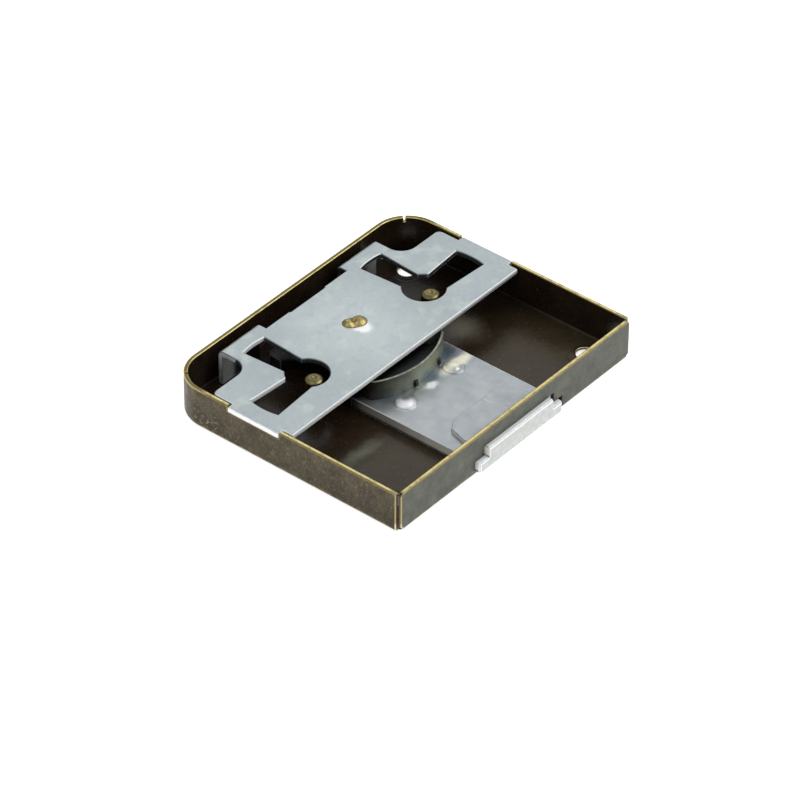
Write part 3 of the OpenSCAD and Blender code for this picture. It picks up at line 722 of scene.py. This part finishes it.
def bolt_edge(face):
    """Only the outer edges of the bolt rub against the tray and the striking plate."""
    c = face.calc_center_median() / MM
    if on_lug(c):
        return LUG
    if abs(c.x) > BOLT_HALF - 0.7 or c.y < BOLT_FRONT + 0.65:
        return RUBBED
    return DULL if c.y < HEAD_Y else TOP


def on_lug(c):
    """The two lugs that hold the spring are painted near black."""
    return c.z > BOLT_TOP + 0.05 and (abs(c.x + 1.6) < 0.7 and -5.3 < c.y < -3.7
                                      or abs(c.x - 5.6) < 0.9 and -4.5 < c.y < -2.7)


softened("bolt_casting", "bolt", "bolt",
         [BOLT, FLANK, END, DARK_LUG, BOLT_LINE, BOLT_EDGE], 0.14, bolt_face, bolt_edge)

# %% [markdown]
# ## Two tools for Geometry Nodes
# The spring is one strip bent along a path, and the key posts are one turned shape, set twice.
# Both follow a rule, so a node tree can make them: the path or the profile goes in as a plain
# line of points, and the finished piece comes out. The tree's sizes are named inputs, and they
# are set by identifier before the object is first evaluated. What comes out is copied to a
# plain mesh, and the object that carried the tree is thrown away.

# %% The Geometry Nodes tools


def new_tree(name, sizes):
    """A geometry tree with named number inputs. Gives back the tree and its input sockets."""
    tree = bpy.data.node_groups.new(name, "GeometryNodeTree")
    tree.interface.new_socket("Geometry", in_out="INPUT", socket_type="NodeSocketGeometry")
    for size in sizes:
        tree.interface.new_socket(size, in_out="INPUT", socket_type="NodeSocketFloat")
    tree.interface.new_socket("Geometry", in_out="OUTPUT", socket_type="NodeSocketGeometry")
    return tree, add(tree, "NodeGroupInput").outputs


def grown(name, points, edges, tree, sizes):
    """Runs a tree on a line of points in millimetres and gives back a plain mesh."""
    line = bpy.data.meshes.new(name + "_line")
    line.from_pydata([[v * MM for v in p] for p in points], edges, [])
    carrier = bpy.data.objects.new(name + "_line", line)
    bpy.context.scene.collection.objects.link(carrier)
    modifier = carrier.modifiers.new("tree", "NODES")
    modifier.node_group = tree
    for socket in tree.interface.items_tree:
        if socket.name in sizes:
            modifier[socket.identifier] = sizes[socket.name] * MM
    bpy.context.view_layer.update()
    graph = bpy.context.evaluated_depsgraph_get()
    mesh = bpy.data.meshes.new_from_object(carrier.evaluated_get(graph))
    mesh.name = name
    bpy.data.objects.remove(carrier)
    return mesh


def placed(name, mesh, body, slot, *nodes):
    """Hangs a grown mesh on a body, instead of the CAD nodes that it stands for."""
    for polygon in mesh.polygons:
        polygon.use_smooth = True
    mesh.set_sharp_from_angle(angle=SHADING_ANGLE)
    piece = bpy.data.objects.new(name, mesh)
    bpy.context.scene.collection.objects.link(piece)
    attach(piece, body)
    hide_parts(*nodes)
    check = bmesh.new()
    check.from_mesh(mesh)
    volume = check.calc_volume(signed=True) / MM ** 3
    loose = sum(len(e.link_faces) != 2 for e in check.edges)
    print(name, "faces:", len(mesh.polygons), "mm3:", round(volume, 1), "open edges:", loose)
    check.free()


# %% [markdown]
# ## The spring
# The real spring is a hardened strip, 0.45 mm thick and standing on edge. It is bent to an arch
# in front, turned back by two tight corners, and its legs embrace the centre post. Two notches
# in its lower edge sit over the lugs of the bolt. The path below is the bender's list of arcs,
# with the same radii as the CAD solid, and two loose points mark the notches.

# %% The path of the spring
STRIP_T, STRIP_LOW, STRIP_TOP = 0.45, BOLT_TOP, 6.88
ARCH_R, ARCH_Y, ARCH_HALF = 16.5, 11.925, 32
CORNER_R, SLANT, BEND_R, FLARE_R = 2.0, 45, 3.0, 1.3
LEG_X, LEG_END_Y = 2.275, 18.4
LUGS = (-1.6, 5.6)


def arc(x, y, radius, start, stop, steps):
    """Points on an arc. Angles are in degrees from straight ahead, positive to the right."""
    turns = [math.radians(start + (stop - start) * i / steps) for i in range(steps + 1)]
    return [(x + radius * math.sin(t), y - radius * math.cos(t)) for t in turns]


sine = math.sin(math.radians(SLANT))
corner = arc(0, ARCH_Y, ARCH_R - CORNER_R, ARCH_HALF, ARCH_HALF, 1)[0]
leg_start = (corner[0] + CORNER_R * sine, corner[1] + CORNER_R * sine)
leg_stop_x = LEG_X + BEND_R * (1 - sine)
bend_y = leg_start[1] + (leg_start[0] - leg_stop_x) + BEND_R * sine
half = (arc(*corner, CORNER_R, ARCH_HALF, 180 - SLANT, 16)
        + arc(LEG_X + BEND_R, bend_y, BEND_R, -SLANT, -90, 8)
        + arc(LEG_X + FLARE_R, LEG_END_Y, FLARE_R, -90, -150, 8))
arch = arc(0, ARCH_Y, ARCH_R, -ARCH_HALF, ARCH_HALF, 40)[1:-1]
route = [(-x, y) for x, y in reversed(half)] + arch + half
notches = [arc(0, ARCH_Y, ARCH_R, a, a, 1)[0]
           for a in (math.degrees(math.asin(x / ARCH_R)) for x in LUGS)]
middle = (STRIP_LOW + STRIP_TOP) / 2
route = [(x, y, middle) for x, y in route] + [(x, y, STRIP_LOW) for x, y in notches]
links = [(i, i + 1) for i in range(len(route) - 1 - len(notches))]
print("points on the path:", len(route), "legs end at y", round(route[0][1], 2))

# %% [markdown]
# ## The tree that bends the strip
# A rectangle with rounded corners is swept along the path and closed at both ends. A box on
# each loose point, turned square to the arch, is then taken away. The faces that look up are
# the sheared top edge of the strip, and get a brighter metal.

# %% The spring
CUTTER_LONG = 4  # much more than the strip is thick
tree, given = new_tree("strip bent along a path", ["Height", "Thickness", "Edge radius",
                                                    "Notch width", "Notch height",
                                                    "Arch radius"])
path = add(tree, "GeometryNodeMeshToCurve", {0: given["Geometry"]})
section = add(tree, "GeometryNodeCurvePrimitiveQuadrilateral",
              {"Width": given["Thickness"], "Height": given["Height"]})
rounded = add(tree, "GeometryNodeFilletCurve", {0: section.outputs[0], "Count": 2,
                                                "Radius": given["Edge radius"]}, mode="POLY")
upright = add(tree, "GeometryNodeSetCurveNormal", {0: path.outputs[0]}, mode="Z_UP")
swept = add(tree, "GeometryNodeCurveToMesh", {0: upright.outputs[0], 1: rounded.outputs[0],
                                              "Fill Caps": True})
neighbours = add(tree, "GeometryNodeInputMeshVertexNeighbors")
loose = add(tree, "FunctionNodeCompare", {2: neighbours.outputs[0], 3: 0}, data_type="INT",
            operation="EQUAL")
marks = add(tree, "GeometryNodeMeshToPoints", {0: given["Geometry"], 1: loose.outputs[0]})
where = add(tree, "ShaderNodeSeparateXYZ", {0: add(tree, "GeometryNodeInputPosition").outputs[0]})
share = add(tree, "ShaderNodeMath", {0: where.outputs[0], 1: given["Arch radius"]},
            operation="DIVIDE")
turned = add(tree, "ShaderNodeMath", {0: share.outputs[0]}, operation="ARCSINE")
facing = add(tree, "ShaderNodeCombineXYZ", {2: turned.outputs[0]})
twice = add(tree, "ShaderNodeMath", {0: given["Notch height"], 1: 2.0}, operation="MULTIPLY")
extent = add(tree, "ShaderNodeCombineXYZ", {0: given["Notch width"], 1: CUTTER_LONG * MM,
                                            2: twice.outputs[0]})
box = add(tree, "GeometryNodeMeshCube", {0: extent.outputs[0]})
boxes = add(tree, "GeometryNodeInstanceOnPoints", {"Points": marks.outputs[0],
                                                   "Instance": box.outputs[0],
                                                   "Rotation": facing.outputs[0]})
cutters = add(tree, "GeometryNodeRealizeInstances", {0: boxes.outputs[0]})
notched = add(tree, "GeometryNodeMeshBoolean", {0: swept.outputs[0], 1: cutters.outputs[0]},
              operation="DIFFERENCE", solver="EXACT")
real = add(tree, "GeometryNodeRealizeInstances", {0: notched.outputs[0]})
steel = add(tree, "GeometryNodeSetMaterial", {0: real.outputs[0], "Material": STRIP})
look = add(tree, "ShaderNodeSeparateXYZ", {0: add(tree, "GeometryNodeInputNormal").outputs[0]})
level = add(tree, "ShaderNodeMath", {0: look.outputs[2], 1: 0.5}, operation="GREATER_THAN")
edged = add(tree, "GeometryNodeSetMaterial", {0: steel.outputs[0], 1: level.outputs[0],
                                              "Material": STRIP_EDGE})
add(tree, "NodeGroupOutput", {0: edged.outputs[0]})
strip = grown("bolt_spring_strip", route, links, tree,
              {"Height": STRIP_TOP - STRIP_LOW, "Thickness": STRIP_T, "Edge radius": 0.07,
               "Notch width": 1.0, "Notch height": 1.25, "Arch radius": ARCH_R})
placed("bolt_spring_strip", strip, "bolt", "spring_steel", "bolt_spring")

# %% [markdown]
# ## The key posts
# A barrel key turns on a post, so each post is turned from brass bar: a thin end riveted in the
# tray, a shoulder, a plain shank, a low dome and a centre dimple from the lathe. The profile is
# drawn once, as radius and height. The tree carries it round a circle of 1 mm, which is why 1 is
# taken off each radius. The circle's frame points down, which is why the height is negative and
# why the faces are flipped at the end.

# %% The key posts
POST_R, POST_TOP, DOME_H, RIVET_R, RIVET_EDGE = 1.7, 7.38, 0.75, 1.4, 0.05
DIMPLE_R, DIMPLE_FLAT, DIMPLE_DEPTH, DIMPLE_LIP = 0.52, 0.12, 0.3, 0.04
CROWN_R = DIMPLE_R + 0.06  # the dome ends at a narrow flat round the dimple
DOME_STEPS, LATHE_STEPS = 12, 64
POST_X, POST_Y = (-15.35, 16.15), 6.6
profile = [(0, 0), (RIVET_R - RIVET_EDGE, 0), (RIVET_R, RIVET_EDGE), (RIVET_R, SHEET_T),
           (POST_R, SHEET_T)]
for step in range(DOME_STEPS, -1, -1):
    t = math.pi / 2 * step / DOME_STEPS
    profile.append((CROWN_R + (POST_R - CROWN_R) * math.sin(t),
                    POST_TOP - DOME_H * (1 - math.cos(t))))
profile += [(DIMPLE_R - DIMPLE_LIP, POST_TOP - DIMPLE_LIP),
            (DIMPLE_FLAT, POST_TOP - DIMPLE_DEPTH), (0, POST_TOP - DIMPLE_DEPTH)]
tree, given = new_tree("posts turned on a lathe", ["Lathe radius", "First x", "Step in x",
                                                   "Row y"])
bar = add(tree, "GeometryNodeMeshToCurve", {0: given["Geometry"]})
lathe = add(tree, "GeometryNodeCurvePrimitiveCircle", {"Resolution": LATHE_STEPS,
                                                       "Radius": given["Lathe radius"]})
chips = add(tree, "GeometryNodeCurveToMesh", {0: lathe.outputs[0], 1: bar.outputs[0]})
closed = add(tree, "GeometryNodeMergeByDistance", {0: chips.outputs[0], "Distance": 0.002 * MM})
first = add(tree, "ShaderNodeCombineXYZ", {0: given["First x"], 1: given["Row y"]})
pitch = add(tree, "ShaderNodeCombineXYZ", {0: given["Step in x"]})
row = add(tree, "GeometryNodeMeshLine", {"Count": 2, "Start Location": first.outputs[0],
                                         "Offset": pitch.outputs[0]})
outward = add(tree, "GeometryNodeFlipFaces", {0: closed.outputs[0]})
posts = add(tree, "GeometryNodeInstanceOnPoints", {"Points": row.outputs[0],
                                                   "Instance": outward.outputs[0]})
real = add(tree, "GeometryNodeRealizeInstances", {0: posts.outputs[0]})
brass = add(tree, "GeometryNodeSetMaterial", {0: real.outputs[0], "Material": POST})
add(tree, "NodeGroupOutput", {0: brass.outputs[0]})
pair = grown("key_posts_turned", [(r - 1, -z, 0) for r, z in profile],
             [(i, i + 1) for i in range(len(profile) - 1)], tree,
             {"Lathe radius": 1.0, "First x": POST_X[0], "Step in x": POST_X[1] - POST_X[0],
              "Row y": POST_Y})
placed("key_posts_turned", pair, "case", "bare_brass", "key_post_left", "key_post_right")

# %% [markdown]
# ## The centre post
# The centre post holds the plate down, so its end was peened over with a hammer to two lobes
# and marked by the punch. That shape follows no rule, and the CAD solid has it already.

# %% The centre post
softened("centre_post_peened", "centre_post", "case", [HEAD, HEAD], 0.08, sharp=35)

# %% [markdown]
# ## Floor and light
# A catalogue shot: a plain pale floor that burns out, an even grey sky and three soft boxes.
# A level metal face mirrors what stands behind it, and an upright one mirrors the floor in
# front, so those two brightnesses set the whole picture. The floor lies a hair below the lock,
# because two faces in one plane flicker.

# %% Floor and light


FLOOR_HALF, FLOOR_DOWN = 1.5, 0.05 * MM


def softbox(name, place, size, radiance):
    """A square soft light that shines on the lock. Its power follows from the brightness that
    its face should have."""
    light = bpy.data.lights.new(name, "AREA")
    light.shape = "SQUARE"
    light.size = size
    light.energy = radiance * math.pi * size * size
    lamp = bpy.data.objects.new(name, light)
    lamp.location = place
    lamp.rotation_euler = (-Vector(place)).to_track_quat("-Z", "Y").to_euler()
    bpy.context.scene.collection.objects.link(lamp)


world = bpy.data.worlds.new("pale studio")
bpy.context.scene.world = world
world.use_nodes = True
sky = world.node_tree.nodes["Background"]
sky.inputs["Color"].default_value = linear("#f4f8fa")
sky.inputs["Strength"].default_value = 0.5

mesh = bpy.data.meshes.new("floor")
corners = ((-1, -1), (1, -1), (1, 1), (-1, 1))
mesh.from_pydata([(x * FLOOR_HALF, y * FLOOR_HALF, -FLOOR_DOWN) for x, y in corners], [],
                 [(0, 1, 2, 3)])
floor = bpy.data.objects.new("floor", mesh)
bpy.context.scene.collection.objects.link(floor)
paper = bpy.data.materials.new("white paper")
paper.use_nodes = True
paper_shader = paper.node_tree.nodes["Principled BSDF"]
paper_shader.inputs["Base Color"].default_value = linear("#f4f4f4")
paper_shader.inputs["Roughness"].default_value = 0.9
paper_shader.inputs["Emission Color"].default_value = linear("#ffffff")
paper_shader.inputs["Emission Strength"].default_value = 0.75
floor.data.materials.append(paper)

softbox("soft box behind", (0.45, 0.42, 0.5), 0.55, 0.6)
softbox("soft box over the left", (-0.4, 0.1, 0.7), 0.4, 1.0)
softbox("soft box in front", (0.38, -0.45, 0.6), 0.7, 2.1)
print("lights:", len(bpy.data.lights))

# %% [markdown]
# ## The camera
# The camera was fitted to the straight edges of the tray in the photograph. It stands far
# away with a long lens, so that parallel edges stay almost parallel.

# %% The camera
AZIMUTH, ELEVATION, ROLL = map(math.radians, (-50.578, 38.417, 0.314))
DISTANCE = 0.88525
AIM = Vector((-7.494, -6.019, 4.0)) * MM
FOCAL_PIXELS, PICTURE_PIXELS, SENSOR_MM = 5154.63, 800, 36

back = Vector((math.sin(AZIMUTH) * math.cos(ELEVATION),
               -math.cos(AZIMUTH) * math.cos(ELEVATION), math.sin(ELEVATION)))
right = (-back).cross(Vector((0, 0, 1))).normalized()
up = right.cross(-back)
tilted_right = math.cos(ROLL) * right + math.sin(ROLL) * up
tilted_up = -math.sin(ROLL) * right + math.cos(ROLL) * up
camera_data = bpy.data.cameras.new("camera")
camera_data.sensor_width = SENSOR_MM
camera_data.lens = FOCAL_PIXELS / PICTURE_PIXELS * SENSOR_MM
camera = bpy.data.objects.new("camera", camera_data)
turn = Matrix((tilted_right, tilted_up, back)).transposed().to_4x4()
camera.matrix_world = Matrix.Translation(AIM + back * DISTANCE) @ turn
bpy.context.scene.collection.objects.link(camera)
bpy.context.scene.camera = camera
bpy.context.scene.view_settings.view_transform = "Standard"
bpy.context.scene.view_settings.look = "None"

# %% [markdown]
# ## Last step
# The view layer is brought up to date.

# %% Update the view layer
bpy.context.view_layer.update()
